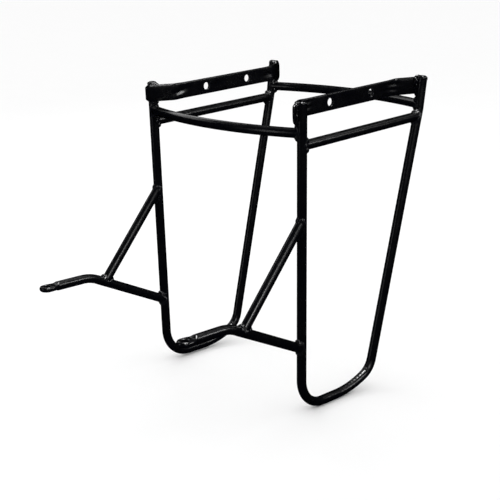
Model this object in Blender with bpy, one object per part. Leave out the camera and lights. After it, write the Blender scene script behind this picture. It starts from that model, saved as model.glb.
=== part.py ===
"""Welded tubular wheel rack: two bent side hoops joined by rails, bars and bowed cross tubes.

Frame: +Z up, -Y towards the end with the long arms, which is called the front, and +X to the right
as seen from there. The origin is under the middle of the rack, on the surface it stands on.

All tubes have one diameter. The hoops lie in two planes that lean in a little towards the bottom,
and the rack stands on the short straight run in the bottom of each hoop, so the rails climb
slightly towards the rear. Each joint is a coped tube end with a weld bead around it.
"""

import math

import bmesh
import bpy
from mathutils import Matrix, Vector

MM = 0.001
GAP = 0.3 * MM

# Driving dimensions
TUBE_R = 5.0 * MM
BORE_R = 3.5 * MM
SIDES = 12
HALF_TRACK = 113.7 * MM
HOOP_LEAN = 0.0151
FRONT_RAKE = -0.032
REAR_RAKE = 0.2324
BASE_LENGTH = 187.4 * MM
RAIL_SLOPE = 0.0511
KINK_HEIGHT = 18.0 * MM
KINK_RAKE = 0.13
KINK_R = 60.0 * MM

# Hoops: tops of the legs over the rail's front end, depth of the bottom, and its bends
FRONT_TOP = 44.2 * MM
REAR_TOP = 52.6 * MM
HOOP_DEPTH = 287.7 * MM
FRONT_BEND_R = 34.0 * MM
LIFT_START = 80.0 * MM
LIFT_SLOPE = 0.31
LIFT_BEND_R = 60.0 * MM
REAR_BEND_R = 28.0 * MM
RAIL_HEIGHT = HOOP_DEPTH + TUBE_R * math.cos(math.pi / SIDES)

# Cross tubes, bowed outwards
CROSS_RISE = 12.8 * MM
CROSS_BOW = 18.4 * MM

# Top bars: flattened tube, set in from the hoops, with both ends bent out to the legs
BAR_INSET = 19.2 * MM
BAR_RISE = 32.8 * MM
BAR_TALL = 18.0 * MM
BAR_THICK = 3.2 * MM
BAR_END_TALL = 19.0 * MM
BAR_END_THICK = 3.8 * MM
BAR_BEND_R = 14.0 * MM
BAR_FRONT_BEND = 16.0 * MM
BAR_REAR_BEND = 20.9 * MM
BAR_SINK = 0.6 * MM
BAR_LAP = {"front": 9.0 * MM, "rear": 2.4 * MM}
BAR_HOLES = (62.8 * MM, 128.8 * MM)
BAR_HOLE_R = 4.2 * MM
BAR_CORNER = 3.5 * MM
BAR_FADE = 12.0 * MM

# Arms and struts at the front
ARM_FOOT = {-1: -214.1 * MM, 1: -218.3 * MM}
ARM_CLIMB = 0.4664
ARM_BEND = -100.5 * MM
ARM_BEND_R = 50.0 * MM
EYE_CENTRE = -157.5 * MM
EYE_R = 7.6 * MM
EYE_THICK = 5.2 * MM
EYE_NECK = -141.5 * MM
EYE_HOLE_R = 4.0 * MM
STRUT_TOP = -78.2 * MM
STRUT_SLOPE = {-1: 1.152, 1: 1.18}

# Weld beads and end caps
BEAD_R = 2.3 * MM
BEAD_LIFT = 0.9 * MM
BEAD_DEPTH = 1.5 * MM
BEAD_SIDES = 6
BEAD_STEPS = 14
CAP_THICK = 1.5 * MM
CAP_STEM = 6.0 * MM

FRONT_REACH = EYE_CENTRE - EYE_R
REAR_REACH = 215.46 * MM
MIDDLE = (FRONT_REACH + REAR_REACH) / 2
SIDE_NAMES = {-1: "left", 1: "right"}


def clear_scene():
    for obj in list(bpy.data.objects):
        bpy.data.objects.remove(obj, do_unlink=True)


def paint(name, colour, roughness, metallic=0.0):
    material = bpy.data.materials.new(name)
    material.use_nodes = True
    shader = material.node_tree.nodes["Principled BSDF"]
    shader.inputs["Base Color"].default_value = (*colour, 1.0)
    shader.inputs["Roughness"].default_value = roughness
    shader.inputs["Metallic"].default_value = metallic
    return material


# ---------------------------------------------------------------- places in the rack's own frame

def hoop_point(side, y, z):
    """A point of a side's hoop plane."""
    return Vector((side * (HALF_TRACK + HOOP_LEAN * z), y, z))


def leg_point(side, end, z):
    """A point of a leg's centre line. The rear legs straighten a little over the rails."""
    if end == "front":
        return hoop_point(side, FRONT_RAKE * z, z)
    below = min(z, KINK_HEIGHT)
    return hoop_point(side, BASE_LENGTH + REAR_RAKE * below + KINK_RAKE * (z - below), z)


def leg_direction(side, end, z):
    return (leg_point(side, end, z + MM) - leg_point(side, end, z)).normalized()


def hoop_normal(side):
    return Vector((side, 0, -HOOP_LEAN)).normalized()


def deck_height(rise, y):
    """Height of the sloping plane that lies the given rise over the rails."""
    return rise + RAIL_SLOPE * y


def deck_normal():
    return Vector((0, -RAIL_SLOPE, 1)).normalized()


def leg_at_deck(side, end, rise):
    """Where a leg's centre line meets the plane at the given rise over the rails."""
    z = rise
    for _ in range(8):
        z = deck_height(rise, leg_point(side, end, z).y)
    return leg_point(side, end, z)


# ---------------------------------------------------------------- paths

def bend(before, corner, after, radius, steps):
    """Points of the arc of the given radius that rounds a corner."""
    back = (before - corner).normalized()
    ahead = (after - corner).normalized()
    half = back.angle(ahead) / 2
    centre = corner + (back + ahead).normalized() * (radius / math.sin(half))
    start = corner + back * (radius / math.tan(half))
    axis = (start - centre).cross(ahead).normalized()
    sweep = math.pi - 2 * half
    arm = start - centre
    return [centre + Matrix.Rotation(sweep * i / steps, 3, axis) @ arm for i in range(steps + 1)]


def bent_path(points, radii, steps):
    """A path through the first and last point, with an arc at each corner between them."""
    path = [points[0]]
    for i, (radius, count) in enumerate(zip(radii, steps), start=1):
        path += bend(points[i - 1], points[i], points[i + 1], radius, count)
    return path + [points[-1]]


# ---------------------------------------------------------------- sections

def turned(count):
    """Angles of a section's corners, with a flat side facing each main direction."""
    return [2 * math.pi * (i + 0.5) / count for i in range(count)]


def round_section(radius, count=SIDES):
    return [(radius * math.cos(a), radius * math.sin(a)) for a in turned(count)]


def flat_section(wide, thick):
    """A flattened tube: two flat faces and rounded edges, with as many corners as the tube."""
    points = []
    for a in turned(SIDES):
        across = math.cos(a)
        up = math.sin(a)
        if abs(up) > 0.5:
            x = (wide - thick * 0.5) / 2 * across / math.cos(math.radians(45))
            y = math.copysign(thick / 2, up)
        else:
            x = math.copysign(wide / 2, across)
            y = thick / 2 * up / 0.5
        points.append((x, y))
    return points


def crowned_section(wide, thick):
    """A tube that is only partly flattened, with bulging faces."""
    return [(wide / 2 * math.cos(a), thick / 2 * math.sin(a)) for a in turned(SIDES)]


def mix(first, second, share):
    return [
        (p[0] * (1 - share) + q[0] * share, p[1] * (1 - share) + q[1] * share)
        for p, q in zip(first, second)
    ]


# ---------------------------------------------------------------- solids

def add_rings(mesh, path, normal, sections, closed=False):
    """Corners of each section, set square to the path. x runs along normal, y in the bend's plane."""
    rings = []
    last = len(path) - 1
    for i, (point, section) in enumerate(zip(path, sections)):
        before = path[i - 1] if closed or i > 0 else path[i]
        after = path[(i + 1) % len(path)] if closed or i < last else path[i]
        ahead = (after - before).normalized()
        up = normal[i] if isinstance(normal, list) else normal
        side = ahead.cross(up).normalized()
        across = side.cross(ahead).normalized()
        rings.append([mesh.verts.new(point + across * x + side * y) for x, y in section])
    return rings


def join_rings(mesh, first, second):
    count = len(first)
    for i in range(count):
        j = (i + 1) % count
        mesh.faces.new((first[i], first[j], second[j], second[i]))


def finish(mesh, name, material, frame, cutter=False):
    bmesh.ops.recalc_face_normals(mesh, faces=mesh.faces)
    data = bpy.data.meshes.new(name)
    mesh.to_mesh(data)
    mesh.free()
    data.shade_smooth()
    data.set_sharp_from_angle(angle=math.radians(35))
    obj = bpy.data.objects.new(name, data)
    bpy.context.scene.collection.objects.link(obj)
    obj.parent = frame
    if cutter:
        obj.hide_render = True
        obj.display_type = "WIRE"
    else:
        data.materials.append(material)
    return obj


def tube(name, path, normal, material, frame, sections=None, bore=None, cutter=False):
    """A tube or rod along a path. bore is how many points of the path the bore follows."""
    mesh = bmesh.new()
    sections = sections or [round_section(TUBE_R)] * len(path)
    outer = add_rings(mesh, path, normal, sections)
    for first, second in zip(outer, outer[1:]):
        join_rings(mesh, first, second)
    if bore is None:
        mesh.faces.new(outer[0])
        mesh.faces.new(outer[-1])
        return finish(mesh, name, material, frame, cutter)
    inner = add_rings(mesh, path[:bore], normal, [round_section(BORE_R)] * bore)
    for first, second in zip(inner, inner[1:]):
        join_rings(mesh, second, first)
    join_rings(mesh, inner[0], outer[0])
    if bore == len(path):
        join_rings(mesh, outer[-1], inner[-1])
    else:
        mesh.faces.new(outer[-1])
        mesh.faces.new(inner[-1])
    return finish(mesh, name, material, frame)


def rod_cutter(name, start, end, radius, normal, frame, count=SIDES):
    """A hidden rod that cuts its neighbours."""
    sections = [round_section(radius, count)] * 2
    return tube(name, [start, end], normal, None, frame, sections, cutter=True)


def cut(obj, cutters):
    for cutter in cutters:
        modifier = obj.modifiers.new("cut_" + cutter.name, "BOOLEAN")
        modifier.operation = "DIFFERENCE"
        modifier.object = cutter


def ring_path(foot, along, up, outline, axis_point, axis, radius):
    """The outline of a tube end, carried along the tube to a cylinder of the given radius."""
    side = up.cross(along).normalized()
    points = []
    for a, b in outline:
        start = foot + up * a + side * b - axis_point
        offset = start - axis * start.dot(axis)
        lean = along - axis * along.dot(axis)
        half_b = offset.dot(lean)
        square = lean.dot(lean)
        root = half_b * half_b - square * (offset.dot(offset) - radius * radius)
        t = (-half_b + math.sqrt(max(root, 0.0))) / square
        points.append(foot + up * a + side * b + along * t)
    return points


def bead(name, path, closed, material, frame, radius=BEAD_R, cutter=False):
    """A round bead of weld along a path that may close on itself."""
    mesh = bmesh.new()
    middle = sum(path, Vector()) / len(path)
    outward = [(p - middle).normalized() for p in path]
    rings = add_rings(mesh, path, outward, [round_section(radius, BEAD_SIDES)] * len(path), closed)
    for first, second in zip(rings, rings[1:]):
        join_rings(mesh, first, second)
    if closed:
        join_rings(mesh, rings[-1], rings[0])
    else:
        mesh.faces.new(rings[0])
        mesh.faces.new(rings[-1])
    return finish(mesh, name, material, frame, cutter)


def round_outline(radius):
    step = 2 * math.pi / BEAD_STEPS
    angles = [step * (i + 0.5) for i in range(BEAD_STEPS)]
    return [(radius * math.cos(a), radius * math.sin(a)) for a in angles]


# ---------------------------------------------------------------- the pieces

def hoop_path(side):
    """Centre line of a hoop, from the front leg's top round to the rear leg's top."""
    front_corner = hoop_point(side, FRONT_RAKE * -HOOP_DEPTH, -HOOP_DEPTH)
    lift_corner = hoop_point(side, LIFT_START, -HOOP_DEPTH)
    level = -HOOP_DEPTH - LIFT_SLOPE * LIFT_START
    rear_y = (BASE_LENGTH + REAR_RAKE * level) / (1 - REAR_RAKE * LIFT_SLOPE)
    rear_corner = hoop_point(side, rear_y, level + LIFT_SLOPE * rear_y)
    corners = [
        leg_point(side, "front", FRONT_TOP - CAP_THICK),
        front_corner,
        lift_corner,
        rear_corner,
        leg_point(side, "rear", KINK_HEIGHT),
        leg_point(side, "rear", REAR_TOP - CAP_THICK),
    ]
    return bent_path(corners, (FRONT_BEND_R, LIFT_BEND_R, REAR_BEND_R, KINK_R), (7, 2, 5, 1))


def make_hoop(side, material, frame):
    path = hoop_path(side)
    return tube("hoop_" + SIDE_NAMES[side], path, hoop_normal(side), material, frame, bore=len(path))


def make_cap(side, end, material, frame):
    """A plug with a slightly domed head that closes the top of a leg."""
    name = f"leg_cap_{end}_{SIDE_NAMES[side]}"
    height = FRONT_TOP if end == "front" else REAR_TOP
    along = leg_direction(side, end, height)
    top = leg_point(side, end, height)
    seat = top - along * (CAP_THICK - GAP)
    path = [seat - along * CAP_STEM, seat, seat, top - along * 0.4 * MM, top]
    radii = (BORE_R - GAP, BORE_R - GAP, TUBE_R, TUBE_R, TUBE_R - 1.2 * MM)
    mesh = bmesh.new()
    across = hoop_normal(side)
    other = along.cross(across)
    rings = []
    for point, radius in zip(path, radii):
        corners = round_section(radius)
        rings.append([mesh.verts.new(point + across * x + other * y) for x, y in corners])
    for first, second in zip(rings, rings[1:]):
        join_rings(mesh, first, second)
    mesh.faces.new(rings[0])
    mesh.faces.new(rings[-1])
    return finish(mesh, name, material, frame)


def rail_ends(side):
    return leg_at_deck(side, "front", 0), leg_at_deck(side, "rear", 0)


def make_rail(side, legs, material, frame):
    path = list(rail_ends(side))
    rail = tube("side_rail_" + SIDE_NAMES[side], path, hoop_normal(side), material, frame, bore=2)
    cut(rail, legs)
    return rail


def cross_path(end, steps=12):
    """A flat arc from leg to leg, bowed away from the middle of the rack."""
    left = leg_at_deck(-1, end, CROSS_RISE)
    right = leg_at_deck(1, end, CROSS_RISE)
    out = -1 if end == "front" else 1
    half = (right - left).length / 2
    radius = (half * half + CROSS_BOW * CROSS_BOW) / (2 * CROSS_BOW)
    reach = math.asin(half / radius)
    points = []
    for i in range(steps + 1):
        a = reach * (2 * i / steps - 1)
        y = left.y + out * (radius * math.cos(a) - radius + CROSS_BOW)
        points.append(Vector((radius * math.sin(a), y, deck_height(CROSS_RISE, y))))
    return points


def make_cross(end, legs, material, frame):
    path = cross_path(end)
    cross = tube("cross_tube_" + end, path, deck_normal(), material, frame, bore=len(path))
    cut(cross, legs)
    return cross


def deck_point(side, inset, y, rise):
    """A point of the plane at the given rise, set in from the hoop's top."""
    return Vector((side * (HALF_TRACK - inset), y, deck_height(rise, y)))


def bar_lap(end):
    """How a bar end lies on its leg: its clearance and slant, and its length from bend to tip."""
    bend_y = BAR_FRONT_BEND if end == "front" else BAR_REAR_BEND
    away = math.hypot(BAR_INSET, bend_y)
    clear = TUBE_R + GAP + BAR_END_THICK / 2 - BAR_SINK
    slant = math.atan2(bend_y, BAR_INSET) + math.asin(clear / away)
    touch = math.sqrt(away * away - clear * clear)
    return bend_y, clear, slant, touch


def bar_end(side, end):
    """A bar's tip and bend at one end, and where its centre line passes the leg."""
    leg = leg_at_deck(side, end, BAR_RISE)
    inward = 1 if end == "front" else -1
    bend_y, _, slant, touch = bar_lap(end)

    def place(run):
        y = leg.y + inward * (bend_y - run * math.sin(slant))
        return deck_point(side, BAR_INSET - run * math.cos(slant), y, BAR_RISE)

    return place(touch + BAR_LAP[end]), place(0), place(touch)


def bar_path(side):
    """Centre line of a bar, with short steps at its round-cornered tips and bends."""
    front_tip, front_bend, _ = bar_end(side, "front")
    rear_tip, rear_bend, _ = bar_end(side, "rear")
    path = bent_path([front_tip, front_bend, rear_bend, rear_tip], (BAR_BEND_R, BAR_BEND_R), (4, 4))
    front = (path[1] - path[0]).normalized()
    rear = (path[-2] - path[-1]).normalized()
    flat = (path[6] - path[5]).normalized() * BAR_FADE
    tips = [path[0], path[0] + front * BAR_CORNER * 0.3, path[0] + front * BAR_CORNER]
    ends = [path[-1] + rear * BAR_CORNER, path[-1] + rear * BAR_CORNER * 0.3, path[-1]]
    return tips + path[1:6] + [path[5] + flat, path[6] - flat] + path[6:11] + ends


def bar_sections(grow):
    """Flat in the middle of the bar, and crowned and a little taller towards its ends."""
    flat = flat_section(BAR_TALL + 2 * grow, BAR_THICK + 2 * grow)
    crowned = crowned_section(BAR_END_TALL + 2 * grow, BAR_END_THICK + 2 * grow)
    half = [mix(flat, crowned, share) for share in (1, 1, 1, 1, 0.85, 0.7, 0.55, 0.4, 0)]
    for i, share in ((0, 0.62), (1, 0.86)):
        half[i] = [(x * share, y * 0.9) for x, y in half[i]]
    return half + half[::-1]


def make_bar(side, cutters, material, frame):
    """A flattened tube with two bolt holes, whose bent ends lap the legs."""
    name = "top_bar_" + SIDE_NAMES[side]
    bar = tube(name, bar_path(side), deck_normal(), material, frame, bar_sections(0))
    cut(bar, cutters)
    return bar


def bar_hole_cutters(side, frame):
    cutters = []
    for i, y in enumerate(BAR_HOLES):
        middle = deck_point(side, BAR_INSET, y, BAR_RISE)
        reach = Vector((0.01, 0, 0))
        name = f"hole_{i}_{SIDE_NAMES[side]}"
        cutters.append(
            rod_cutter(name, middle - reach, middle + reach, BAR_HOLE_R, deck_normal(), frame, 16)
        )
    return cutters


def arm_axis(side):
    """Foot on the leg, bend and far end of an arm's centre line."""
    foot = leg_point(side, "front", ARM_FOOT[side])
    corner = hoop_point(side, ARM_BEND, foot.z + ARM_CLIMB * (foot.y - ARM_BEND))
    return foot, corner, Vector((corner.x, EYE_CENTRE, corner.z))


def make_arm(side, cutters, material, frame):
    """A bent tube whose far end is pressed flat into an eyelet."""
    foot, corner, eye = arm_axis(side)
    path = bent_path([foot, corner, eye], (ARM_BEND_R,), (4,))[:-1]
    neck = Vector((eye.x, EYE_NECK, eye.z))
    bore = len(path) + 1
    round_end = round_section(TUBE_R)
    flat_end = flat_section(2 * EYE_R, EYE_THICK)
    path += [neck, neck - Vector((0, 2.5 * MM, 0)), neck - Vector((0, 6 * MM, 0)), eye.copy()]
    sections = [round_end] * bore + [mix(round_end, flat_end, 0.75), flat_end, flat_end]
    for angle in (30, 55, 75, 86):
        turn = math.radians(angle)
        path.append(eye - Vector((0, EYE_R * math.sin(turn), 0)))
        sections.append(flat_section(2 * EYE_R * math.cos(turn), EYE_THICK))
    normal = hoop_normal(side)
    arm = tube("arm_" + SIDE_NAMES[side], path, normal, material, frame, sections, bore=bore)
    cut(arm, cutters)
    return arm


def eye_cutter(side, frame):
    eye = arm_axis(side)[2]
    reach = Vector((0, 0, 0.01))
    name = "eye_hole_" + SIDE_NAMES[side]
    return rod_cutter(name, eye - reach, eye + reach, EYE_HOLE_R, Vector((0, 1, 0)), frame, 16)


def strut_ends(side):
    """The strut's centre line, from the leg down to the arm's centre line."""
    foot, corner, _ = arm_axis(side)
    top = leg_point(side, "front", STRUT_TOP)
    drop = top.z - foot.z
    slope = STRUT_SLOPE[side]
    share = (drop - slope * (top.y - foot.y)) / (ARM_CLIMB + slope)
    return top, foot.lerp(corner, share / (foot.y - corner.y))


def make_strut(side, cutters, material, frame):
    path = list(strut_ends(side))
    strut = tube("strut_" + SIDE_NAMES[side], path, hoop_normal(side), material, frame, bore=2)
    cut(strut, cutters)
    return strut


# ---------------------------------------------------------------- welds

def weld_around(joint, foot, along, axis, cutters, material, frame):
    """A bead round a coped tube end. Returns it and a larger hidden copy, which clears its neighbours."""
    along = along.normalized()
    up = (axis - along * axis.dot(along)).normalized()
    outline = round_outline(TUBE_R + BEAD_LIFT)
    path = ring_path(foot, along, up, outline, foot, axis, TUBE_R + BEAD_DEPTH)
    return bead_and_space(joint, path, True, cutters, material, frame)


def lap_path(side, end):
    """Down one groove between bar and leg, under the bar, and up the other groove."""
    leg = leg_at_deck(side, end, BAR_RISE)
    tip, corner, touch = bar_end(side, end)
    along = (tip - corner).normalized()
    up = deck_normal()
    out = (touch - leg - along * (touch - leg).dot(along)).normalized()
    reach = TUBE_R + BEAD_DEPTH
    inner = -5.5 * MM
    outer = min(5.5 * MM, BAR_LAP[end] + BEAD_LIFT)
    top = BAR_END_TALL / 2 - 1.5 * MM
    low = -BAR_END_TALL / 2
    under = low - BEAD_LIFT
    steps = [(inner, top), (inner, 0), (inner, low), (inner * 0.7, under), (0, under)]
    steps += [(outer * 0.7, under), (outer, low), (outer, 0), (outer, top)]
    return [
        leg + along * t + out * math.sqrt(reach * reach - t * t) + up * z for t, z in steps
    ]


def bead_and_space(joint, path, closed, cutters, material, frame):
    weld = bead("weld_" + joint, path, closed, material, frame)
    cut(weld, cutters)
    space = bead("space_" + joint, path, closed, None, frame, BEAD_R + GAP, cutter=True)
    return weld, space


def make_side(side, black, weld_black, frame):
    word = SIDE_NAMES[side]
    normal = hoop_normal(side)
    skin = TUBE_R + GAP
    make_hoop(side, black, frame)
    spaces = {}
    for end, low, high in (("front", -240 * MM, 60 * MM), ("rear", -60 * MM, 70 * MM)):
        make_cap(side, end, black, frame)
        path = [leg_point(side, end, z) for z in (low, KINK_HEIGHT, high)]
        sections = [round_section(skin)] * len(path)
        name = f"{end}_leg_space_{word}"
        spaces[end] = tube(name, path, normal, None, frame, sections, cutter=True)
    legs = list(spaces.values())
    make_rail(side, legs, black, frame)
    make_bar(side, [*bar_hole_cutters(side, frame), *legs], black, frame)
    name = "bar_space_" + word
    bar = tube(name, bar_path(side), deck_normal(), None, frame, bar_sections(GAP), cutter=True)
    rail = rod_cutter("rail_space_" + word, *rail_ends(side), skin, normal, frame)
    foot, corner, _ = arm_axis(side)
    arm = rod_cutter("arm_space_" + word, foot, corner, skin, normal, frame)
    strut_top, strut_foot = strut_ends(side)
    strut = rod_cutter("strut_space_" + word, strut_top, strut_foot, skin, normal, frame)
    make_arm(side, [spaces["front"], eye_cutter(side, frame)], black, frame)
    make_strut(side, [spaces["front"], arm], black, frame)
    front_axis = leg_direction(side, "front", 0)
    joints = (
        ("arm", foot, corner - foot, front_axis, [spaces["front"], arm]),
        ("strut_top", strut_top, strut_foot - strut_top, front_axis, [spaces["front"], strut]),
        ("strut_foot", strut_foot, strut_top - strut_foot, corner - foot, [arm, strut]),
    )
    for joint, point, along, axis, cutters in joints:
        name = f"{joint}_{word}"
        weld_around(name, point, along, axis.normalized(), cutters, weld_black, frame)
    front, rear = rail_ends(side)
    taken = {}
    for end, point, along in (("front", front, rear - front), ("rear", rear, front - rear)):
        axis = leg_direction(side, end, point.z)
        cutters = [spaces[end], rail]
        name = f"rail_{end}_{word}"
        _, taken[end] = weld_around(name, point, along, axis, cutters, weld_black, frame)
    return spaces, bar, taken


def make_cross_joints(end, cross_space, sides, weld_black, frame):
    """The welds at a cross tube's ends, and the bars' welds just over them."""
    path = cross_path(end)
    for side, (spaces, bar, taken) in sides.items():
        near, away = (path[0], path[1]) if side < 0 else (path[-1], path[-2])
        axis = leg_direction(side, end, near.z)
        cutters = [spaces[end], cross_space, taken[end], bar]
        joint = f"cross_{end}_{SIDE_NAMES[side]}"
        _, cross_bead = weld_around(joint, near, away - near, axis, cutters, weld_black, frame)
        cutters = [spaces[end], bar, cross_space, cross_bead]
        joint = f"bar_{end}_{SIDE_NAMES[side]}"
        bead_and_space(joint, lap_path(side, end), False, cutters, weld_black, frame)


def main():
    clear_scene()
    frame = bpy.data.objects.new("rack_frame", None)
    frame.location = (0, -MIDDLE, RAIL_HEIGHT)
    bpy.context.scene.collection.objects.link(frame)
    black = paint("black_powder_coat", (0.012, 0.012, 0.014), 0.32)
    weld_black = paint("black_weld", (0.014, 0.014, 0.016), 0.38)
    sides = {side: make_side(side, black, weld_black, frame) for side in SIDE_NAMES}
    for end in ("front", "rear"):
        make_cross(end, [sides[side][0][end] for side in SIDE_NAMES], black, frame)
        path = cross_path(end)
        sections = [round_section(TUBE_R + GAP)] * len(path)
        name = "cross_space_" + end
        space = tube(name, path, deck_normal(), None, frame, sections, cutter=True)
        make_cross_joints(end, space, sides, weld_black, frame)


main()
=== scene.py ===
"""Looks of the welded wheel rack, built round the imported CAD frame.

The CAD nodes are faceted and stand a hair apart at their joints. Here each of them is replaced by a
smooth piece in the same place: round tube that is a little flattened in its bends, bars of pressed
tube that buckle where they turn, eyelets and bolt holes with rounded rims, domed leg ends, and
rippled weld metal whose toes run out on the tubes that it joins. The sizes are the CAD's, but for
the hoops' bottom run and the eyelets, which differ from it by a millimetre or so. Everything has one
black powder coat, thinner on sharp edges and lumpier over the welds.
"""

import bisect
import math

import bmesh
import bpy
from mathutils import Matrix, Vector, noise


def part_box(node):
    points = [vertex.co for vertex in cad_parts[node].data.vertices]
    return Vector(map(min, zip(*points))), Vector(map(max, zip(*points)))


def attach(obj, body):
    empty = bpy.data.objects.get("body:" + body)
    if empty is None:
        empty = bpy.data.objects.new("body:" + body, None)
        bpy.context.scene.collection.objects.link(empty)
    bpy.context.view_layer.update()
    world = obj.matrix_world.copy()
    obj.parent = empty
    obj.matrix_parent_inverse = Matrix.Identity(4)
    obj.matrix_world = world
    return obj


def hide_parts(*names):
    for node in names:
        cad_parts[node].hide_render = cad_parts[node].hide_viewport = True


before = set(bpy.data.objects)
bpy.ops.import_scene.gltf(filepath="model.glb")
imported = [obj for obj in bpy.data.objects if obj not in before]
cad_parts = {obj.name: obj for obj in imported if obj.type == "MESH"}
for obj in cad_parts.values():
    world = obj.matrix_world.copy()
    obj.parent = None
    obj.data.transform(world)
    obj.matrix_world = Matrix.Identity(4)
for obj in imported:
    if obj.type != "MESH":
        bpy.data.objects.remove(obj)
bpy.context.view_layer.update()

MM = 0.001

# ---------------------------------------------------------------- sizes, as in the CAD

TUBE_R = 5.0 * MM
GAP = 0.3 * MM
HALF_TRACK = 113.7 * MM
HOOP_LEAN = 0.0151
FRONT_RAKE = -0.032
REAR_RAKE = 0.2324
BASE_LENGTH = 187.4 * MM
RAIL_SLOPE = 0.0511
KINK_HEIGHT = 18.0 * MM
KINK_RAKE = 0.13
KINK_R = 60.0 * MM
LEG_TOP = {"front": 44.2 * MM, "rear": 52.6 * MM}
FRONT_BEND_R = 34.0 * MM
CROSS_RISE = 12.8 * MM
CROSS_BOW = 18.4 * MM
BAR_INSET = 19.2 * MM
BAR_RISE = 32.8 * MM
BAR_TALL = 18.0 * MM
BAR_THICK = 3.2 * MM
BAR_END_TALL = 19.0 * MM
BAR_END_THICK = 3.8 * MM
BAR_BEND_R = 14.0 * MM
BAR_BEND = {"front": 16.0 * MM, "rear": 20.9 * MM}
BAR_SINK = 0.6 * MM
BAR_LAP = {"front": 9.0 * MM, "rear": 2.4 * MM}
BAR_HOLES = (62.8 * MM, 128.8 * MM)
BAR_HOLE_R = 4.2 * MM
BAR_FADE = 12.0 * MM
ARM_FOOT = {-1: -214.1 * MM, 1: -218.3 * MM}
ARM_CLIMB = 0.4664
ARM_BEND = -100.5 * MM
ARM_BEND_R = 50.0 * MM
EYE_THICK = 5.2 * MM
EYE_HOLE_R = 4.0 * MM
STRUT_TOP = -78.2 * MM
STRUT_SLOPE = {-1: 1.152, 1: 1.18}
CAP_THICK = 1.5 * MM

# The rack's own frame starts between the rails' front ends. This is where that lies in the CAD.
MIDDLE = 25.18 * MM
RAIL_HEIGHT = 292.53 * MM

# ---------------------------------------------------------------- sizes that only the looks have

# Corners round a tube, a bar, a lap weld and a hole, and steps in a hole's rounded rim.
AROUND = 40
BAR_CORNERS = 96
LAP_CORNERS = 24
HOLE_CORNERS = 56
RIM_STEPS = 6

# Tube: the coat over it, how oval a bend makes it, and the creases on a bend's inside.
COATED_R = TUBE_R + 0.2 * MM
OVAL = 0.05
CREASE = 0.11 * MM
CREASE_PITCH = 5.2 * MM

# The hoops' bottom run, almost one sweep where the CAD has two straight stretches with a bend
# between them. The left hoop is a little shorter than in the CAD.
HOOP_DEPTH = {-1: 286.3 * MM, 1: 287.6 * MM}
LIFT_START = 90.0 * MM
LIFT_SLOPE = 0.42
LIFT_BEND_R = 120.0 * MM
REAR_BEND_R = 24.0 * MM

# The eyelets, a little larger and further forward than in the CAD, on a shorter neck. The tube is
# as wide as the neck where its pressing starts, and a low rim stands round the hole.
EYE_CENTRE = -158.3 * MM
EYE_R = 8.0 * MM
EYE_NECK = 13.5 * MM
EYE_EDGE = 1.7 * MM
EYE_FINE = 26 * MM
NECK_HALF = 6.2 * MM
NECK_SPREAD = 10 * MM
NECK_STEP = 4 * MM
RIM_R = 5.7 * MM
RIM_HEIGHT = 0.24 * MM
RIM_WIDTH = 0.7 * MM

# The bars' section: how square it is, how hollow its faces are and how its tips are rounded.
BAR_SQUARE = 4.5
BAR_END_SQUARE = 3.6
BAR_HOLLOW = 0.1
TIP_ROUND = 2.6 * MM
TIP_THICK = 0.55
TIP_EDGE = 1.0 * MM

# The rounded rims of the holes, and how far each of a bar's hole edges lies from its middle.
EYE_HOLE_RIM = 1.0 * MM
BAR_HOLE_RIM = 0.7 * MM
BAR_HOLE_HALF = 1.45 * MM

# The folds in the bars' bends: reach along the bar, place past the front bend's end and before the
# rear bend's start with the fold's slant, and on each face the creases, as depth, height from -1 to
# 1 and reach below and above.
BAR_FOLD = 11.0 * MM
FOLD_REACH = 0.9
FRONT_FOLD = (2.5 * MM, -0.22)
REAR_FOLD = (5 * MM, 0.1)
INNER_CREASES = ((1.0 * MM, 0.45, 0.38, 0.3), (0.9 * MM, -0.18, 0.36, 0.25))
OUTER_CREASES = ((1.2 * MM, -0.02, 0.5, 0.55),)
FLANK_SOFTNESS = 0.4

# Leg tops: height over the seat and radius of the dome, in millimetres, its lumps, the radius in
# millimetres at which a lump pushes as far out as up, and how tall each end's dome is.
CAP_PROFILE = (
    (-3.0, 3.2), (-2.2, 4.6), (-1.6, 5.05), (-1.0, 5.3), (-0.3, 5.45), (0.4, 5.4),
    (1.0, 5.15), (1.5, 4.7), (1.9, 4.0), (2.2, 3.0), (2.36, 1.9), (2.42, 0.9),
)
CAP_LUMP = 0.4 * MM
CAP_NOISE = 300
CAP_LUMP_R = 5.8
DOME = {"front": 0.95, "rear": 1.4}

# Weld metal: reach of the toes from the groove, least width of its face, the bulge over the face
# and the thinnest cover of the groove, how deep the toes and the hidden back lie in the metal, the
# ripples and lumps, and how far the toes stray.
WELD_WIDTH = 3.7 * MM
WELD_FACE = 3.8 * MM
WELD_WIDEST = 7 * MM
WELD_BULGE = 0.75 * MM
WELD_THIN = 0.9 * MM
WELD_SUNK = 0.35 * MM
WELD_BACK = 1.6 * MM
WELD_ROOT = 1.8 * MM
WELD_PITCH = 2.3 * MM
WELD_RIPPLE = 0.42 * MM
RIPPLE_BOW = 0.4
WELD_LUMP = 0.75 * MM
WELD_NOISE = 250
TOE_STRAY = 0.14
TOE_NOISE = 210

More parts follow.
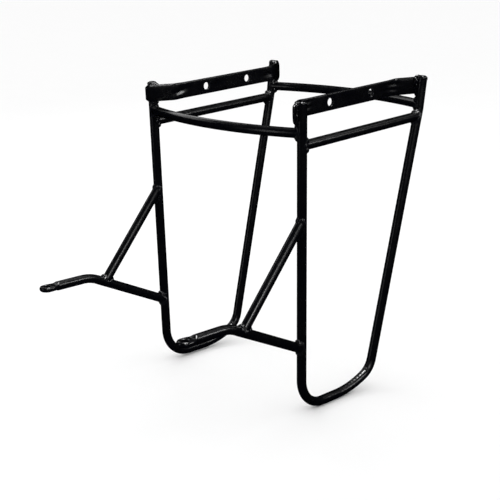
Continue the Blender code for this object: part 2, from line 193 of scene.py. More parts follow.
# Lap welds: how far the loop reaches inwards and outwards of the leg's centre line, and above and
# below the bar, how square the loop is, and the bead's radius, ripples and lumps.
LAP_INNER = -4.7 * MM
LAP_OUTER = 2.4 * MM
LAP_PAST_TIP = 0.9 * MM
LAP_ABOVE = 0.4 * MM
LAP_BELOW = 1.9 * MM
LAP_SQUARE = 0.4
LAP_END_SQUARE = 0.5
LAP_OFF_TUBE = 0.74 * MM
LAP_OVER_AWAY = 5.4 * MM
LAP_OVER_STRETCH = 1.5
LAP_TIP_CLEAR = 1.5 * MM
LAP_BEAD_R = 2.5 * MM
LAP_ABOVE_R = 2.0 * MM
LAP_TIP_R = 1.5 * MM
LAP_BACK = 0.1
LAP_EVEN = 20
LAP_WAVER = 0.2
LAP_WAVER_NOISE = 190
LAP_RIPPLE_BOW = 0.25
LAP_RIPPLE = 0.5 * WELD_RIPPLE
LAP_NOISE = 240

# The coat starts to thin where the surface turns outwards by this much in a millimetre.
EDGE_TURN = 0.28
# The smooth shading breaks at edges sharper than this.
SHARP_ANGLE = math.radians(50)
# A piece that stands further than this out of its CAD node's box is printed.
PROUD_LIMIT = 6 * MM

# ---------------------------------------------------------------- finish, light and camera

SIDE_NAMES = {-1: "left", 1: "right"}
COAT = "black_powder_coat"
WELD = "black_weld"

FLOOR_HALF = 20
WHITE_STRENGTH = 1.075
LAMP_TARGET = Vector((0, 0, 0.2))
# Name, place, size, power and whether the lamp shows only in the coat's gloss.
LAMPS = (
    ("back_left_softbox", (-1.30, 0.11, 1.17), (1.6, 0.3), 4.2, False),
    ("back_right_softbox", (0.57, 1.07, 1.30), (0.5, 0.3), 0.7, True),
    ("left_softbox", (-0.41, -1.53, 0.38), (0.12, 0.8), 1.6, True),
    ("right_softbox", (1.45, -0.13, 0.85), (0.1, 0.8), 1.6, True),
    ("key_softbox", (1.32, 0.85, 0.88), (0.6, 0.15), 8, True),
    ("front_softbox", (1.44, -0.77, 0.99), (0.3, 0.3), 9, True),
    ("top_softbox", (0.05, 0.15, 1.5), (0.5, 0.5), 44, True),
)
CAMERA_TURN = math.radians(44.9556)
CAMERA_LIFT = math.radians(15.6115)
CAMERA_PLACE = (0.84844, -0.83389, 0.48935)
CAMERA_LENS = 79.642
CAMERA_SHIFT = (-0.001, 0.00075)


# ---------------------------------------------------------------- places on the rack

def hoop_point(side, y, z):
    """A point of a side's hoop plane."""
    return Vector((side * (HALF_TRACK + HOOP_LEAN * z), y, z))


def leg_point(side, end, z):
    """A point of a leg's centre line. The rear legs straighten a little over the rails."""
    if end == "front":
        return hoop_point(side, FRONT_RAKE * z, z)
    below = min(z, KINK_HEIGHT)
    return hoop_point(side, BASE_LENGTH + REAR_RAKE * below + KINK_RAKE * (z - below), z)


def leg_direction(side, end, z):
    return (leg_point(side, end, z + MM) - leg_point(side, end, z)).normalized()


def hoop_normal(side):
    return Vector((side, 0, -HOOP_LEAN)).normalized()


def deck_height(rise, y):
    """Height of the sloping plane of the rails, or of one at the given rise over it."""
    return rise + RAIL_SLOPE * y


def deck_normal():
    return Vector((0, -RAIL_SLOPE, 1)).normalized()


def deck_point(side, inset, y, rise):
    """A point of the plane at the given rise, set in from the hoop's top."""
    return Vector((side * (HALF_TRACK - inset), y, deck_height(rise, y)))


def leg_at_deck(side, end, rise):
    """Where a leg's centre line meets the plane at the given rise."""
    z = rise
    for _ in range(8):
        z = deck_height(rise, leg_point(side, end, z).y)
    return leg_point(side, end, z)


def arm_axis(side):
    """Foot on the leg, bend and eye of an arm's centre line."""
    foot = leg_point(side, "front", ARM_FOOT[side])
    corner = hoop_point(side, ARM_BEND, foot.z + ARM_CLIMB * (foot.y - ARM_BEND))
    return foot, corner, Vector((corner.x, EYE_CENTRE, corner.z))


def strut_ends(side):
    """The strut's centre line, from the leg down to the arm's centre line."""
    foot, corner, _ = arm_axis(side)
    top = leg_point(side, "front", STRUT_TOP)
    drop = top.z - foot.z
    slope = STRUT_SLOPE[side]
    share = (drop - slope * (top.y - foot.y)) / (ARM_CLIMB + slope)
    return top, foot.lerp(corner, share / (foot.y - corner.y))


def cross_points(end, steps=72):
    """A flat arc from leg to leg, bowed away from the middle of the rack."""
    left = leg_at_deck(-1, end, CROSS_RISE)
    right = leg_at_deck(1, end, CROSS_RISE)
    out = -1 if end == "front" else 1
    half = (right - left).length / 2
    radius = (half * half + CROSS_BOW * CROSS_BOW) / (2 * CROSS_BOW)
    reach = math.asin(half / radius)
    points = []
    for i in range(steps + 1):
        a = reach * (2 * i / steps - 1)
        y = left.y + out * (radius * math.cos(a) - radius + CROSS_BOW)
        points.append(Vector((radius * math.sin(a), y, deck_height(CROSS_RISE, y))))
    return points


def bar_end(side, end):
    """A bar's tip and bend at one end, and where its centre line passes the leg."""
    leg = leg_at_deck(side, end, BAR_RISE)
    inward = 1 if end == "front" else -1
    away = math.hypot(BAR_INSET, BAR_BEND[end])
    clear = TUBE_R + GAP + BAR_END_THICK / 2 - BAR_SINK
    slant = math.atan2(BAR_BEND[end], BAR_INSET) + math.asin(clear / away)
    touch = math.sqrt(away * away - clear * clear)

    def place(run):
        y = leg.y + inward * (BAR_BEND[end] - run * math.sin(slant))
        return deck_point(side, BAR_INSET - run * math.cos(slant), y, BAR_RISE)

    return place(touch + BAR_LAP[end]), place(0), place(touch)


# ---------------------------------------------------------------- small sums

def smooth(t):
    """0 up to 0, 1 from 1 on, and a soft step between them."""
    t = min(max(t, 0.0), 1.0)
    return t * t * (3 - 2 * t)


def mix(first, second, share):
    return first * (1 - share) + second * share


def hump(x, width):
    """A bump that is 1 at 0 and nearly gone at twice the width."""
    return math.exp(-((x / width) ** 2))


def pinch(x, low, high):
    """A crease with nearly straight flanks that is 1 at 0 and runs out at -low and at high."""
    share = max(1 - abs(x) / (high if x > 0 else low), 0.0)
    return mix(share, smooth(share), FLANK_SOFTNESS)


def quarter_round(depth, radius):
    """Height of a rounded edge, 0 at the edge and 1 from the radius inwards."""
    short = 1 - min(max(depth / radius, 0.0), 1.0)
    return math.sqrt(1 - short * short)


def signed_power(x, exponent):
    return math.copysign(abs(x) ** exponent, x)


def ripple(phase):
    """The scallops of a weld: a bump at each half phase and a notch at each whole one, level on
    average."""
    return abs(math.sin(math.pi * phase)) - 0.64


def around(count):
    return [2 * math.pi * (i + 0.5) / count for i in range(count)]


# ---------------------------------------------------------------- lines

class Line:
    """A line that is read by the distance along it. With radii, its inner points are corners to
    be rounded. Without, it goes straight from point to point."""

    def __init__(self, points, radii=()):
        self.points = [points[0]] if radii else list(points)
        arcs = []
        for i, radius in enumerate(radii, start=1):
            arcs.append(self._add_arc(*points[i - 1:i + 2], radius))
        if radii:
            self.points.append(points[-1])
        self.runs = [0.0]
        for a, b in zip(self.points, self.points[1:]):
            self.runs.append(self.runs[-1] + (b - a).length)
        self.length = self.runs[-1]
        self.bends = [(self.runs[i], self.runs[j], centre) for i, j, centre in arcs]

    def _add_arc(self, before, corner, after, radius):
        back = (before - corner).normalized()
        ahead = (after - corner).normalized()
        half = back.angle(ahead) / 2
        centre = corner + (back + ahead).normalized() * (radius / math.sin(half))
        arm = corner + back * (radius / math.tan(half)) - centre
        axis = arm.cross(ahead).normalized()
        sweep = math.pi - 2 * half
        steps = max(4, round(math.degrees(sweep)))
        first = len(self.points)
        turns = [Matrix.Rotation(sweep * i / steps, 3, axis) for i in range(steps + 1)]
        self.points += [centre + turn @ arm for turn in turns]
        return first, first + steps, centre

    def point(self, run):
        run = min(max(run, 0.0), self.length)
        i = min(bisect.bisect_right(self.runs, run), len(self.runs) - 1)
        span = self.runs[i] - self.runs[i - 1]
        return self.points[i - 1].lerp(self.points[i], (run - self.runs[i - 1]) / span)

    def direction(self, run, reach=0.6 * MM):
        return (self.point(run + reach) - self.point(run - reach)).normalized()

    def bend(self, run, fade=5 * MM):
        """How fully the line is bent there, 0 to 1, the way to the bend's centre and the way in."""
        found = (0.0, None, 0.0)
        for start, end, centre in self.bends:
            depth = smooth((run - start) / fade + 0.5) * smooth((end - run) / fade + 0.5)
            if depth > found[0]:
                found = (depth, (centre - self.point(run)).normalized(), run - start)
        return found

    def stations(self, fine=0.9 * MM, coarse=7 * MM, margin=7 * MM, extra=()):
        """Distances along the line, close together near the bends and in any extra stretches."""
        close = [(a - margin, b + margin) for a, b, _ in self.bends] + list(extra)
        stations = [0.0]
        while stations[-1] < self.length:
            run = stations[-1]
            step = coarse
            for start, end in close:
                if start - 1e-7 <= run < end:
                    step = min(step, fine)
                elif run < start < run + step:
                    step = start - run
            stations.append(run + step)
        return stations[:-1] + [self.length]


# ---------------------------------------------------------------- meshes

def join(mesh, first, second):
    for i in range(len(first)):
        j = (i + 1) % len(first)
        mesh.faces.new((first[i], first[j], second[j], second[i]))


def close_end(mesh, corners):
    middle = mesh.verts.new(sum((v.co for v in corners), Vector()) / len(corners))
    for i, corner in enumerate(corners):
        mesh.faces.new((corner, corners[(i + 1) % len(corners)], middle))


def loft(rings, closed=False):
    """A closed mesh through rings of points. A closed loft joins its last ring to its first."""
    mesh = bmesh.new()
    rings = [[mesh.verts.new(p) for p in points] for points in rings]
    for first, second in zip(rings, rings[1:]):
        join(mesh, first, second)
    if closed:
        join(mesh, rings[-1], rings[0])
    else:
        close_end(mesh, rings[0])
        close_end(mesh, rings[-1])
    return mesh


def swept(line, normal, stations, corner_at, count=AROUND):
    """A loft along a line. corner_at gives a corner's place across the line: x along normal, y in
    the bends' plane. It gets the distance along the line, the corner's angle, how fully the line
    is bent there, signed by the side of the bend's centre, and how far into the bend it is."""
    rings = []
    for run in stations:
        point = line.point(run)
        ahead = line.direction(run)
        side = ahead.cross(normal).normalized()
        across = side.cross(ahead).normalized()
        depth, inner, way_in = line.bend(run)
        bend = math.copysign(depth, inner.dot(side)) if depth else 0.0
        corners = [corner_at(run, a, bend, way_in) for a in around(count)]
        rings.append([point + across * x + side * y for x, y in corners])
    return loft(rings)


def tube_corner(run, angle, bend, way_in):
    """A tube's corner: a little flattened in a bend, with faint creases on the bend's inside."""
    inward = math.sin(angle) * math.copysign(1, bend)
    radius = COATED_R * (1 - OVAL * abs(bend) * (inward * inward - 0.4))
    wave = math.sin(2 * math.pi * way_in / CREASE_PITCH)
    radius += CREASE * abs(bend) * max(inward, 0.0) ** 3 * wave
    return radius * math.cos(angle), radius * math.sin(angle)


def add_object(mesh, name):
    bmesh.ops.recalc_face_normals(mesh, faces=mesh.faces)
    data = bpy.data.meshes.new(name)
    mesh.to_mesh(data)
    mesh.free()
    obj = bpy.data.objects.new(name, data)
    bpy.context.scene.collection.objects.link(obj)
    return obj


def mark_edges(data):
    """Writes how sharply the surface turns outwards at each point, where the coat lies thinner."""
    mesh = bmesh.new()
    mesh.from_mesh(data)
    mesh.normal_update()
    values = []
    for vert in mesh.verts:
        turn = 0.0
        for edge in vert.link_edges:
            reach = vert.co - edge.other_vert(vert).co
            if reach.length_squared > 1e-12:
                turn = max(turn, 2 * reach.dot(vert.normal) / reach.length_squared)
        values.append(smooth(turn * MM - EDGE_TURN))
    mesh.free()
    data.attributes.new("edge", "FLOAT", "POINT").data.foreach_set("value", values)


def publish(mesh, node, cutters=()):
    """Turns a mesh into the piece that stands for a CAD node, after cutting holes in it."""
    piece = add_object(mesh, "fine_" + node)
    data = piece.data
    if cutters:
        for cutter in cutters:
            piece.modifiers.new("hole", "BOOLEAN").object = cutter
        graph = bpy.context.evaluated_depsgraph_get()
        data = bpy.data.meshes.new_from_object(piece.evaluated_get(graph))
        piece.modifiers.clear()
        piece.data = data
        for cutter in cutters:
            bpy.data.objects.remove(cutter, do_unlink=True)
    data.transform(Matrix.Translation((0, -MIDDLE, RAIL_HEIGHT)))
    mark_edges(data)
    data.shade_smooth()
    data.set_sharp_from_angle(angle=SHARP_ANGLE)
    slot = WELD if node.startswith("weld") else COAT
    data.materials.clear()
    data.materials.append(bpy.data.materials["fine_" + slot])
    low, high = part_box(node)
    for i in range(3):
        values = [v.co[i] for v in data.vertices]
        proud = max(low[i] - min(values), max(values) - high[i])
        if proud > PROUD_LIMIT:
            print(f"{node} stands {proud / MM:.1f} mm out of its node's box on axis {i}")
    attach(piece, "root")
    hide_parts(node)


def hole_cutter(middle, axis, radius, half, rim):
    """A spool that cuts a hole with rounded rims through a plate of the given half thickness."""
    turns = [math.pi / 2 * i / RIM_STEPS for i in range(RIM_STEPS + 1)]
    flare = [(half + rim * (math.sin(a) - 1), radius + rim * (1 - math.cos(a))) for a in turns]
    flare.append((3 * half, radius + rim))
    side = axis.orthogonal().normalized()
    other = axis.cross(side).normalized()
    spokes = [side * math.cos(a) + other * math.sin(a) for a in around(HOLE_CORNERS)]
    rings = []
    for reach, size in [(-x, r) for x, r in reversed(flare)] + flare:
        centre = middle + axis * reach
        rings.append([centre + spoke * size for spoke in spokes])
    return add_object(loft(rings), "cutter")


# ---------------------------------------------------------------- tubes

def make_hoop(side):
    """Both legs of a side and the bent stretch under them, from the front top to the rear one."""
    floor = -HOOP_DEPTH[side]
    level = floor - LIFT_SLOPE * LIFT_START
    rear_y = (BASE_LENGTH + REAR_RAKE * level) / (1 - REAR_RAKE * LIFT_SLOPE)
    corners = [
        leg_point(side, "front", LEG_TOP["front"] - CAP_THICK),
        hoop_point(side, FRONT_RAKE * floor, floor),
        hoop_point(side, LIFT_START, floor),
        hoop_point(side, rear_y, level + LIFT_SLOPE * rear_y),
        leg_point(side, "rear", KINK_HEIGHT),
        leg_point(side, "rear", LEG_TOP["rear"] - CAP_THICK),
    ]
    line = Line(corners, (FRONT_BEND_R, LIFT_BEND_R, REAR_BEND_R, KINK_R))
    mesh = swept(line, hoop_normal(side), line.stations(), tube_corner)
    publish(mesh, "hoop_" + SIDE_NAMES[side])


def make_straight(node, start, end, normal):
    line = Line([start, end])
    publish(swept(line, normal, line.stations(), tube_corner), node)


def make_cap(side, end):
    """The closed top of a leg: an uneven dome, a little wider than the tube."""
    top = LEG_TOP[end]
    along = leg_direction(side, end, top)
    seat = leg_point(side, end, top - CAP_THICK)
    across = hoop_normal(side)
    other = along.cross(across)
    rings = []
    for height, radius in CAP_PROFILE:
        ring = []
        for a in around(AROUND):
            out = across * math.cos(a) + other * math.sin(a)
            place = seat + along * height * DOME[end] * MM + out * radius * MM
            lump = noise.noise(place * CAP_NOISE) * CAP_LUMP
            ring.append(place + (out * radius / CAP_LUMP_R + along) * lump)
        rings.append(ring)
    publish(loft(rings), f"leg_cap_{end}_{SIDE_NAMES[side]}")


def make_arm(side):
    """A bent tube whose far end is pressed flat, with a step at the neck, into an eyelet."""
    foot, corner, eye = arm_axis(side)
    line = Line([foot, corner, eye - Vector((0, EYE_R, 0))], (ARM_BEND_R,))
    half_thick = EYE_THICK / 2

    def corner_at(run, angle, bend, way_in):
        x, y = tube_corner(run, angle, bend, way_in)
        along = line.length - EYE_R - run
        if along > EYE_NECK:
            return x, y
        if along > 0:
            half_wide = mix(NECK_HALF, EYE_R, smooth((EYE_NECK - along) / NECK_SPREAD))
            flat_x = half_wide * math.cos(angle)
            inside = half_wide - abs(flat_x)
        else:
            half_wide = math.sqrt(EYE_R * EYE_R - along * along)
            flat_x = half_wide * math.cos(angle)
            inside = EYE_R - math.hypot(flat_x, along)
        flat_y = half_thick * quarter_round(inside, EYE_EDGE)
        flat_y += RIM_HEIGHT * hump(math.hypot(flat_x, along) - RIM_R, RIM_WIDTH)
        press = smooth((EYE_NECK - along) / NECK_STEP)
        return mix(x, flat_x, press), mix(y, math.copysign(flat_y, y), press)

    end = line.length
    stations = [s for s in line.stations(extra=[(end - EYE_FINE, end)]) if s < end - EYE_R]
    stations += [end - EYE_R * (1 - math.sin(math.radians(5 * i))) for i in range(18)]
    mesh = swept(line, hoop_normal(side), stations, corner_at)
    hole = hole_cutter(eye, Vector((0, 0, 1)), EYE_HOLE_R, half_thick, EYE_HOLE_RIM)
    publish(mesh, "arm_" + SIDE_NAMES[side], [hole])


# ---------------------------------------------------------------- bars

def make_bar(side):
    """A tube pressed flat, with fuller ends, a buckle in each bend and two bolt holes."""
    front_tip, front_bend, _ = bar_end(side, "front")
    rear_tip, rear_bend, _ = bar_end(side, "rear")
    line = Line([front_tip, front_bend, rear_bend, rear_tip], (BAR_BEND_R, BAR_BEND_R))
    (first_in, first_out, centre), (last_in, last_out, _) = line.bends
    folds = ((first_out + FRONT_FOLD[0], FRONT_FOLD[1]), (last_in - REAR_FOLD[0], REAR_FOLD[1]))
    inner_side = line.direction(first_in).cross(deck_normal()).dot(centre - line.point(first_in))

    def corner_at(run, angle, bend, way_in):
        tip = min(run, line.length - run)
        past = max((run - first_in) / (first_out - first_in + BAR_FADE), 0)
        left = max((last_out - run) / (last_out - last_in + BAR_FADE), 0)
        crown = 1 - smooth(min(past, left, 1))
        tall = mix(BAR_TALL, BAR_END_TALL, crown) / 2
        thick = mix(BAR_THICK, BAR_END_THICK, crown) / 2
        tall -= TIP_ROUND * (1 - quarter_round(tip, TIP_ROUND))
        thick *= mix(TIP_THICK, 1, quarter_round(tip, TIP_EDGE))
        squareness = mix(BAR_SQUARE, BAR_END_SQUARE, crown)
        up = math.cos(angle)
        y = thick * (1 - abs(up) ** squareness) ** (1 / squareness)
        y *= 1 - BAR_HOLLOW * (1 - crown) * (1 - up * up) ** 2
        creases = INNER_CREASES if math.sin(angle) * inner_side > 0 else OUTER_CREASES
        for fold, slant in folds:
            near = (run - fold) / BAR_FOLD
            height = up + slant * near
            for depth, middle, low, high in creases:
                y -= hump(near, FOLD_REACH) * depth * pinch(height - middle, low, high)
        return tall * up, math.copysign(max(y, 0.1 * MM), math.sin(angle))

    stations = line.stations(fine=0.7 * MM, coarse=3 * MM, margin=14 * MM)
    mesh = swept(line, deck_normal(), stations, corner_at, BAR_CORNERS)
    holes = [deck_point(side, BAR_INSET, y, BAR_RISE) for y in BAR_HOLES]
    across = Vector((1, 0, 0))
    cutters = [hole_cutter(p, across, BAR_HOLE_R, BAR_HOLE_HALF, BAR_HOLE_RIM) for p in holes]
    publish(mesh, "top_bar_" + SIDE_NAMES[side], cutters)


# ---------------------------------------------------------------- welds

def smoothed(values, reach):
    """A closed list of numbers or vectors, each evened out with its neighbours."""
    weights = [hump(i, reach / 2) for i in range(-reach, reach + 1)]
    total = sum(weights)
    count = len(values)
    result = []
    for i in range(count):
        parts = [values[(i + k - reach) % count] * w for k, w in enumerate(weights)]
        result.append(sum(parts[1:], parts[0]) / total)
    return result


def evenly(path):
    """A closed path's points, moved along it until they stand at even distances."""
    count = len(path)
    ends = [0.0]
    for i in range(count):
        ends.append(ends[-1] + (path[(i + 1) % count] - path[i]).length)
    result = []
    i = 0
    for k in range(count):
        run = ends[-1] * k / count
        while ends[i + 1] < run:
            i += 1
        share = (run - ends[i]) / max(ends[i + 1] - ends[i], 1e-9)
        result.append(path[i].lerp(path[(i + 1) % count], share))
    return result


def make_weld(node, foot, along, axis, steps=168, rows=12):
    """Weld metal in the groove between a tube and the leg it ends on.

    foot is where the tube's centre line meets the leg's, along the tube's way out and axis the
    leg's. Round the tube, each slice of the weld runs from a toe on the leg to a toe on the tube,
    with a bulging rippled face between them and its back hidden in the metal."""
    along = along.normalized()
    axis = axis.normalized()
    up = (axis - along * axis.dot(along)).normalized()
    side = up.cross(along)
    lean = along - axis * along.dot(axis)
    front = lean.normalized()
    left = axis.cross(front)

    # Where each line along the tube's surface meets the leg, also on the leg's surface unrolled.
    roots, tube_normals, runs, places = [], [], [], []
    for i in range(steps):
        a = 2 * math.pi * i / steps
        out = up * math.cos(a) + side * math.sin(a)
        start = out * TUBE_R
        offset = start - axis * start.dot(axis)
        half_b = offset.dot(lean)
        square = lean.length_squared
        under = half_b * half_b - square * (offset.length_squared - TUBE_R * TUBE_R)
        run = (math.sqrt(max(under, 0.0)) - half_b) / square
        root = start + along * run
        roots.append(root)
        tube_normals.append(out)
        runs.append(run)
        angle = math.atan2(root.dot(left), root.dot(front))
        places.append(Vector((TUBE_R * angle, root.dot(axis))))

    # On the unrolled leg, the way out of the joint, square to the groove.
    ways = []
    for i in range(steps):
        step = places[(i + 1) % steps] - places[i - 1]
        way = Vector((step.y, -step.x))
        ways.append(way.normalized() * math.copysign(1, way.dot(places[i])))
    ways = smoothed(ways, 12)
    runs = smoothed(runs, 6)

    # The toes and the middle of the face of each slice. The face is wider in a tight groove.
    slices = []
    for i in range(steps):
        root, tube_normal = roots[i], tube_normals[i]
        radial = root - axis * root.dot(axis)
        leg_normal = radial.normalized()
        opening = math.pi - leg_normal.angle(tube_normal)
        width = min(max(WELD_WIDTH, WELD_FACE / (2 * math.sin(opening / 2))), WELD_WIDEST)
        stray = 1 + TOE_STRAY * noise.noise((foot + root) * TOE_NOISE + Vector((7, 3, 1)))
        place = places[i] + ways[i].normalized() * width * stray
        turn = place.x / TUBE_R
        leg_out = front * math.cos(turn) + left * math.sin(turn)
        leg_toe = leg_out * TUBE_R + axis * place.y
        stray = 1 + TOE_STRAY * noise.noise((foot + root) * TOE_NOISE - Vector((2, 5, 9)))
        tube_toe = tube_normal * TUBE_R + along * (runs[i] + width * stray)
        out = (leg_normal + tube_normal).normalized()
        chord = (leg_toe + tube_toe) / 2 - root
        height = chord.dot(out)
        middle = root + chord - out * height + out * max(height + WELD_BULGE, WELD_THIN)
        pull = middle * 2 - (leg_toe + tube_toe) / 2
        slices.append((root, out, leg_toe, leg_out, pull, tube_toe, tube_normal, middle))

    # The rings, with a whole number of ripples at even distances.
    gaps = [(slices[i][7] - slices[i - 1][7]).length for i in range(steps)]
    ripples = round(sum(gaps) / WELD_PITCH)
    rings = []
    run = 0.0
    for i, (root, out, leg_toe, leg_out, pull, tube_toe, tube_out, middle) in enumerate(slices):
        run += gaps[i]
        start = foot + leg_toe - leg_out * WELD_SUNK
        end = foot + tube_toe - tube_out * WELD_SUNK
        control = foot + pull
        ring = []
        for j in range(rows + 1):
            s = j / rows
            place = start * (1 - s) ** 2 + control * (2 * s * (1 - s)) + end * s * s
            rise = math.sin(math.pi * s)
            phase = ripples * run / sum(gaps) + RIPPLE_BOW * (2 * s - 1) ** 2
            wave = ripple(phase) * rise ** 0.6
            lump = noise.noise(place * WELD_NOISE) * rise
            normal = leg_out.lerp(tube_out, s).normalized()
            ring.append(place + normal * (WELD_RIPPLE * wave + WELD_LUMP * lump))
        ring.append(foot + tube_toe - tube_out * WELD_BACK)
        ring.append(foot + root - out * WELD_ROOT)
        ring.append(foot + leg_toe - leg_out * WELD_BACK)
        rings.append(ring)
    publish(loft(rings, closed=True), node)


def make_lap_weld(side, end, steps=200):
    """A lumpy bead round a bar's end where it laps its leg: in the grooves on both sides, under
    the bar, and over it, where it is thinner and reaches wider."""
    leg = leg_at_deck(side, end, BAR_RISE)
    tip, corner, touch = bar_end(side, end)
    along = (tip - corner).normalized()
    up = deck_normal()
    out = (touch - leg - along * (touch - leg).dot(along)).normalized()

    # The loop lies on the leg's surface at the sides and under the bar, and out on the bar over it.
    outer = min(LAP_OUTER, BAR_LAP[end] + LAP_PAST_TIP)
    centre, half = (LAP_INNER + outer) / 2, (outer - LAP_INNER) / 2
    to_tip = max(1, (BAR_LAP[end] - LAP_TIP_CLEAR) / outer)
    reach = TUBE_R + LAP_OFF_TUBE
    path = []
    for i in range(steps):
        a = 2 * math.pi * i / steps
        t = centre + half * signed_power(math.cos(a), LAP_SQUARE)
        half_tall = BAR_END_TALL / 2 + (LAP_ABOVE if math.sin(a) > 0 else LAP_BELOW)
        z = half_tall * signed_power(math.sin(a), LAP_END_SQUARE)
        over = smooth(3 * math.sin(a) - 0.9)
        t *= mix(1, LAP_OVER_STRETCH if t < 0 else to_tip, over)
        away = mix(math.sqrt(max(reach * reach - t * t, 1e-6)), LAP_OVER_AWAY, over)
        path.append(leg + along * t + out * away + up * z)
    path = smoothed(evenly(path), LAP_EVEN)
    middle = sum(path, Vector()) / steps
    gaps = [(path[i] - path[i - 1]).length for i in range(steps)]
    ripples = round(sum(gaps) / WELD_PITCH)
    rings = []
    run = 0.0
    for i, place in enumerate(path):
        run += gaps[i]
        ahead = (path[(i + 1) % steps] - path[i - 1]).normalized()
        way = (place - middle).normalized()
        cross = ahead.cross(way).normalized()
        way = cross.cross(ahead).normalized()
        # The bead is thinner towards the bar's tip and above the bar.
        beyond = smooth((place - leg).dot(along) / (3 * MM) - 0.3)
        above = smooth((place - leg).dot(up) / (4 * MM) - 1)
        radius = mix(mix(LAP_BEAD_R, LAP_ABOVE_R, above), LAP_TIP_R, beyond)
        radius *= 1 + LAP_WAVER * noise.noise(place * LAP_WAVER_NOISE)
        ring = []
        for a in around(LAP_CORNERS):
            # The half that faces the loop's middle is hidden in the bar and the leg. It is kept
            # nearly flat, so that it can't cut through itself where the loop turns.
            outward = math.cos(a) if math.cos(a) > 0 else LAP_BACK * math.cos(a)
            offset = way * outward + cross * math.sin(a)
            phase = ripples * run / sum(gaps) + LAP_RIPPLE_BOW * math.cos(2 * a)
            lump = noise.noise((place + offset * radius) * LAP_NOISE) * WELD_LUMP
            ring.append(place + offset * (radius + ripple(phase) * LAP_RIPPLE + lump))
        rings.append(ring)
    publish(loft(rings, closed=True), f"weld_bar_{end}_{SIDE_NAMES[side]}")


def make_side(side):
    word = SIDE_NAMES[side]
    normal = hoop_normal(side)
    make_hoop(side)
    make_bar(side)
    make_arm(side)
    rail_front = leg_at_deck(side, "front", 0)
    rail_rear = leg_at_deck(side, "rear", 0)
    make_straight("side_rail_" + word, rail_front, rail_rear, normal)
    strut_top, strut_foot = strut_ends(side)
    make_straight("strut_" + word, strut_top, strut_foot, normal)
    foot, corner, _ = arm_axis(side)
    leg = leg_direction(side, "front", 0)
    make_weld("weld_arm_" + word, foot, corner - foot, leg)
    make_weld("weld_strut_top_" + word, strut_top, strut_foot - strut_top, leg)
    make_weld("weld_strut_foot_" + word, strut_foot, strut_top - strut_foot, corner - foot)
    rail = rail_rear - rail_front
    for end, point, along in (("front", rail_front, rail), ("rear", rail_rear, -rail)):
        make_cap(side, end)
        make_weld(f"weld_rail_{end}_{word}", point, along, leg_direction(side, end, point.z))
        make_lap_weld(side, end)


def make_cross(end):
    points = cross_points(end)
    line = Line(points)
    stations = line.stations(coarse=4 * MM)
    publish(swept(line, deck_normal(), stations, tube_corner), "cross_tube_" + end)
    for side, near, away in ((-1, points[0], points[3]), (1, points[-1], points[-4])):
        node = f"weld_cross_{end}_{SIDE_NAMES[side]}"
        make_weld(node, near, away - near, leg_direction(side, end, near.z))


# ---------------------------------------------------------------- materials

class Nodes:
    """A node tree with short calls: add() makes a node, sets it and links its inputs."""

    def __init__(self, tree):
        self.tree = tree
        tree.nodes.clear()

    def add(self, kind, settings=None, **inputs):
        node = self.tree.nodes.new(kind)
        for name, value in (settings or {}).items():
            setattr(node, name, value)
        for name, value in inputs.items():
            socket = node.inputs[name.replace("_", " ")]
            if isinstance(value, bpy.types.NodeSocket):
                self.tree.links.new(value, socket)
            else:
                socket.default_value = value
        return node


def powder_coat(name, colour, thin_colour, roughness, peel):
    """Baked powder coat: orange peel a millimetre across, fine grain, and thin bright edges."""
    material = bpy.data.materials.new(name)
    material.use_nodes = True
    nodes = Nodes(material.node_tree)
    place = nodes.add("ShaderNodeTexCoord").outputs["Object"]
    waves = nodes.add("ShaderNodeTexNoise", Vector=place, Scale=650, Detail=2, Roughness=0.45)
    grain = nodes.add("ShaderNodeTexNoise", Vector=place, Scale=4200, Detail=2)
    cloud = nodes.add("ShaderNodeTexNoise", Vector=place, Scale=70, Detail=4, Roughness=0.6)
    edge = nodes.add("ShaderNodeAttribute", {"attribute_name": "edge"}).outputs["Fac"]

    worn = nodes.add("ShaderNodeMath", {"operation": "MULTIPLY"})
    nodes.tree.links.new(edge, worn.inputs[0])
    nodes.tree.links.new(cloud.outputs["Fac"], worn.inputs[1])
    # A colour mix takes its colours in sockets 6 and 7 and gives the result in socket 2.
    paint = nodes.add("ShaderNodeMix", {"data_type": "RGBA"})
    nodes.tree.links.new(worn.outputs[0], paint.inputs[0])
    paint.inputs[6].default_value = (*colour, 1)
    paint.inputs[7].default_value = (*thin_colour, 1)

    gloss = nodes.add(
        "ShaderNodeMapRange", Value=cloud.outputs["Fac"], From_Min=0.3, From_Max=0.7,
        To_Min=roughness - 0.05, To_Max=roughness + 0.07,
    )
    orange_peel = nodes.add(
        "ShaderNodeBump", Height=waves.outputs["Fac"], Strength=peel, Distance=0.08 * MM
    )
    fine = nodes.add(
        "ShaderNodeBump", Height=grain.outputs["Fac"], Strength=0.25, Distance=0.012 * MM,
        Normal=orange_peel.outputs["Normal"],
    )
    shader = nodes.add(
        "ShaderNodeBsdfPrincipled", Base_Color=paint.outputs[2], Roughness=gloss.outputs[0],
        Normal=fine.outputs["Normal"], Specular_IOR_Level=0.3,
    )
    nodes.add("ShaderNodeOutputMaterial", Surface=shader.outputs[0])


def floor_material():
    material = bpy.data.materials.new("studio_floor")
    material.use_nodes = True
    nodes = Nodes(material.node_tree)
    place = nodes.add("ShaderNodeTexCoord").outputs["Object"]
    speck = nodes.add("ShaderNodeTexNoise", Vector=place, Scale=9, Detail=3)
    tone = nodes.add("ShaderNodeMapRange", Value=speck.outputs["Fac"], To_Min=0.93, To_Max=0.945)
    shader = nodes.add(
        "ShaderNodeBsdfPrincipled", Base_Color=tone.outputs[0], Roughness=0.9,
        Specular_IOR_Level=0.1,
    )
    nodes.add("ShaderNodeOutputMaterial", Surface=shader.outputs[0])
    return material


# ---------------------------------------------------------------- studio

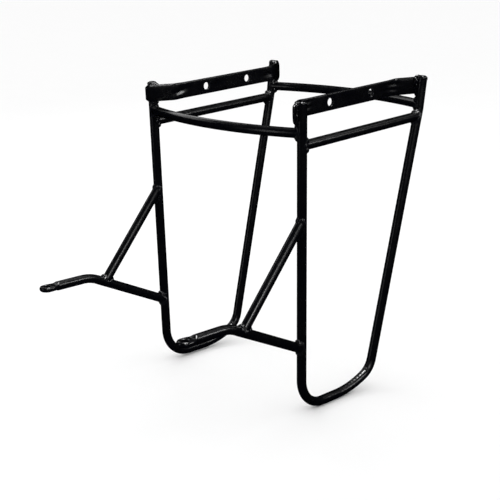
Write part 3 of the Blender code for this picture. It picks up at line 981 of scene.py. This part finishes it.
def make_floor():
    """A wide pale floor, which leaves no reflection in the rack's gloss."""
    mesh = bmesh.new()
    bmesh.ops.create_grid(mesh, x_segments=1, y_segments=1, size=FLOOR_HALF)
    floor = add_object(mesh, "studio_floor")
    floor.data.materials.append(floor_material())
    floor.visible_glossy = False


def make_world():
    """Even white light from all round, which leaves no reflection."""
    world = bpy.data.worlds.new("studio")
    bpy.context.scene.world = world
    world.use_nodes = True
    nodes = Nodes(world.node_tree)
    white = nodes.add("ShaderNodeBackground", Strength=WHITE_STRENGTH, Color=(1, 1, 1, 1))
    nodes.add("ShaderNodeOutputWorld", Surface=white.outputs[0])
    world.cycles_visibility.glossy = False


def softbox(name, place, size, power, only_gloss):
    """A rectangular lamp that faces the rack. With only_gloss it shows in reflections alone and
    gives no diffuse light."""
    light = bpy.data.lights.new(name, "AREA")
    light.shape = "RECTANGLE"
    light.size, light.size_y = size
    light.energy = power
    lamp = bpy.data.objects.new(name, light)
    lamp.location = place
    way = LAMP_TARGET - lamp.location
    lamp.rotation_euler = way.to_track_quat("-Z", "Y").to_euler()
    lamp.visible_diffuse = not only_gloss
    bpy.context.scene.collection.objects.link(lamp)


def make_camera():
    """From the rack's front right and a little above it."""
    right = Vector((math.cos(CAMERA_TURN), math.sin(CAMERA_TURN), 0))
    level = Vector((math.sin(CAMERA_TURN), -math.cos(CAMERA_TURN), 0))
    back = level * math.cos(CAMERA_LIFT) + Vector((0, 0, math.sin(CAMERA_LIFT)))
    data = bpy.data.cameras.new("camera")
    data.lens = CAMERA_LENS
    data.sensor_width = 36
    data.shift_x, data.shift_y = CAMERA_SHIFT
    camera = bpy.data.objects.new("camera", data)
    axes = Matrix((right, back.cross(right), back)).transposed().to_4x4()
    camera.matrix_world = Matrix.Translation(CAMERA_PLACE) @ axes
    bpy.context.scene.collection.objects.link(camera)
    bpy.context.scene.camera = camera


def make_studio():
    bpy.context.scene.view_settings.view_transform = "Standard"
    make_floor()
    make_world()
    for lamp in LAMPS:
        softbox(*lamp)
    make_camera()


powder_coat(
    "fine_" + COAT, colour=(0.0009, 0.0011, 0.0024), thin_colour=(0.012, 0.012, 0.014),
    roughness=0.23, peel=0.35,
)
powder_coat(
    "fine_" + WELD, colour=(0.0010, 0.0012, 0.0024), thin_colour=(0.014, 0.014, 0.016),
    roughness=0.16, peel=0.35,
)
for side in SIDE_NAMES:
    make_side(side)
for end in LEG_TOP:
    make_cross(end)
make_studio()

bpy.context.view_layer.update()
